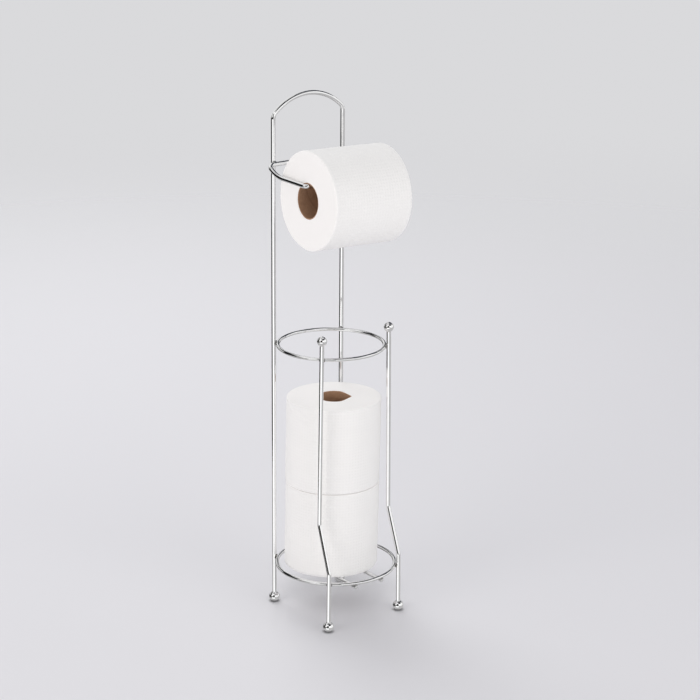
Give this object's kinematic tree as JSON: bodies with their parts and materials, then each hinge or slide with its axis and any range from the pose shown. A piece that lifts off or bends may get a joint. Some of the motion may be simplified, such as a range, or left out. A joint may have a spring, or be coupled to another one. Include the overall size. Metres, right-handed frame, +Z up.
{
  "type": "toilet roll holder",
  "caption": "Free-standing chrome wire toilet roll holder: tall hoop, side arm with the roll in use, and a ringed store below for spare rolls on ball feet.",
  "frame": {"origin": "centre of the bounding box, on the floor that the feet stand on", "axes": "+Z up, -Y to the front where the hung roll is, +X to the right seen from the front"},
  "size_m": [0.1418, 0.1535, 0.6052],
  "materials": {
    "chrome_wire": "polished",
    "chrome_ball": "polished",
    "tissue": "matte",
    "core_board": "matte"
  },
  "bodies": {
    "stand": {"back_hoop": "chrome_wire", "arm_wire": "chrome_wire", "left_front_post": "chrome_wire", "right_front_post": "chrome_wire", "upper_ring": "chrome_wire", "lower_ring": "chrome_wire", "left_rest_wire": "chrome_wire", "right_rest_wire": "chrome_wire", "arm_end_ball": "chrome_ball", "left_finial": "chrome_ball", "right_finial": "chrome_ball", "left_front_foot": "chrome_ball", "right_front_foot": "chrome_ball", "left_rear_foot": "chrome_ball", "right_rear_foot": "chrome_ball"},
    "hung_roll": {"hung_roll_paper": "tissue", "hung_roll_core": "core_board"},
    "lower_spare_roll": {"lower_spare_paper": "tissue", "lower_spare_core": "core_board"},
    "upper_spare_roll": {"upper_spare_paper": "tissue", "upper_spare_core": "core_board"}
  },
  "joints": [
    {"name": "hung_roll_turn", "type": "hinge", "parent": "stand", "child": "hung_roll", "pos_m": [-0.00656, -0.01945, 0.49909], "axis": [0.9984, -0.0523, -0.0227], "continuous": true},
    {"name": "lower_spare_lift", "type": "slide", "parent": "stand", "child": "lower_spare_roll", "axis": [0, 0, 1], "range_m": [0, 0.09]},
    {"name": "upper_spare_lift", "type": "slide", "parent": "lower_spare_roll", "child": "upper_spare_roll", "axis": [0, 0, 1], "range_m": [0, 0.09]}
  ]
}
